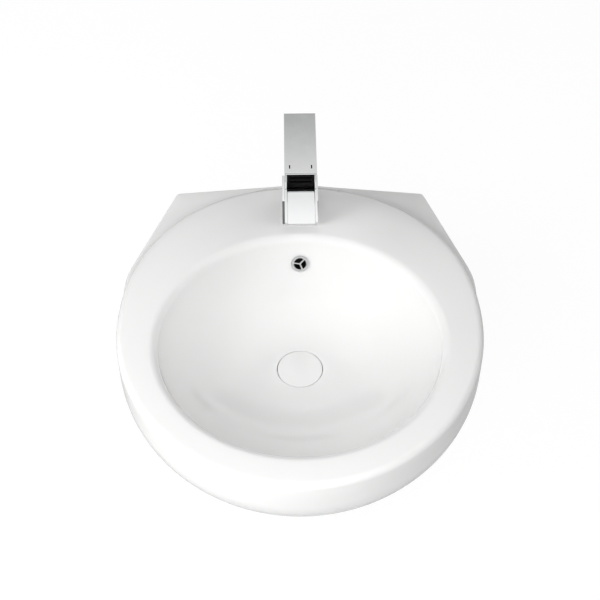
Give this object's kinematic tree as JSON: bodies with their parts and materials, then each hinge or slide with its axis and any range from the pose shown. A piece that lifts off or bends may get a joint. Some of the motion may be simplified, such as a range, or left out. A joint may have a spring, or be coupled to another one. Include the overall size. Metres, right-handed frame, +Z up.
{
  "type": "semi recessed basin",
  "caption": "Round-fronted ceramic basin that overhangs a worktop, with a square waterfall mixer tap, an overflow ring and a covered press-to-open waste.",
  "frame": {"origin": "on the wall, in the middle of the basin, at the height of the worktop's top", "axes": "+Z up, +Y into the wall, -Y towards the user, +X to the user's right"},
  "size_m": [0.5016, 0.5289, 0.4039],
  "materials": {
    "white_glaze": "white gloss glaze",
    "chrome": "polished chrome plate",
    "satin_graphite": "satin graphite",
    "black_plastic": "matt black",
    "rubber": "matt black",
    "steel": "zinc plated",
    "brass": "turned brass",
    "white_plastic": "satin white",
    "valve_plastic": "satin grey",
    "valve_ceramic": "polished alumina"
  },
  "bodies": {
    "basin": {"basin_body": "white_glaze", "cartridge_body": "valve_plastic", "cartridge_dome": "chrome", "cartridge_nut": "brass", "cartridge_seals": "rubber", "click_cartridge": "white_plastic", "click_spring": "steel", "fixed_disc": "valve_ceramic", "fixing_nut": "brass", "fixing_stud": "steel", "flow_former": "black_plastic", "horseshoe_plate": "steel", "horseshoe_washer": "rubber", "overflow_grille": "chrome", "overflow_ring": "chrome", "plug_spider": "white_plastic", "tap_base_plate": "chrome", "tap_body": "chrome", "tap_gasket": "rubber", "tap_shroud": "satin_graphite", "waste_backnut": "brass", "waste_body": "chrome", "waste_lower_gasket": "rubber", "waste_tailpipe": "chrome", "waste_upper_gasket": "rubber", "waste_washer": "steel"},
    "plug": {"waste_cover": "white_glaze", "cover_carrier": "white_plastic", "plug_seal": "rubber", "plug_stem": "brass"},
    "turret": {"cartridge_turret": "valve_plastic", "pivot_pin": "steel"},
    "lever": {"lever_plate": "chrome", "lever_hub": "chrome", "hub_screw": "steel", "cartridge_stem": "brass"},
    "disc": {"moving_disc": "valve_ceramic"}
  },
  "joints": [
    {"name": "plug_travel", "type": "slide", "parent": "basin", "child": "plug", "axis": [0, 0, 1], "range_m": [0, 0.008], "deforming": ["click_spring"]},
    {"name": "lever_turn", "type": "hinge", "parent": "basin", "child": "turret", "pos_m": [0, -0.06, 0.18], "axis": [0, 0, 1], "range_deg": [-40, 40]},
    {"name": "lever_lift", "type": "hinge", "parent": "turret", "child": "lever", "pos_m": [0, -0.06, 0.18], "axis": [-1, 0, 0], "range_deg": [0, 15]},
    {"name": "disc_slide", "type": "slide", "parent": "turret", "child": "disc", "axis": [0, -1, 0], "range_m": [0, 0.0036]}
  ],
  "couplings": [
    {"joint": "disc_slide", "follows": "lever_lift", "m_per_rad": 0.013}
  ]
}
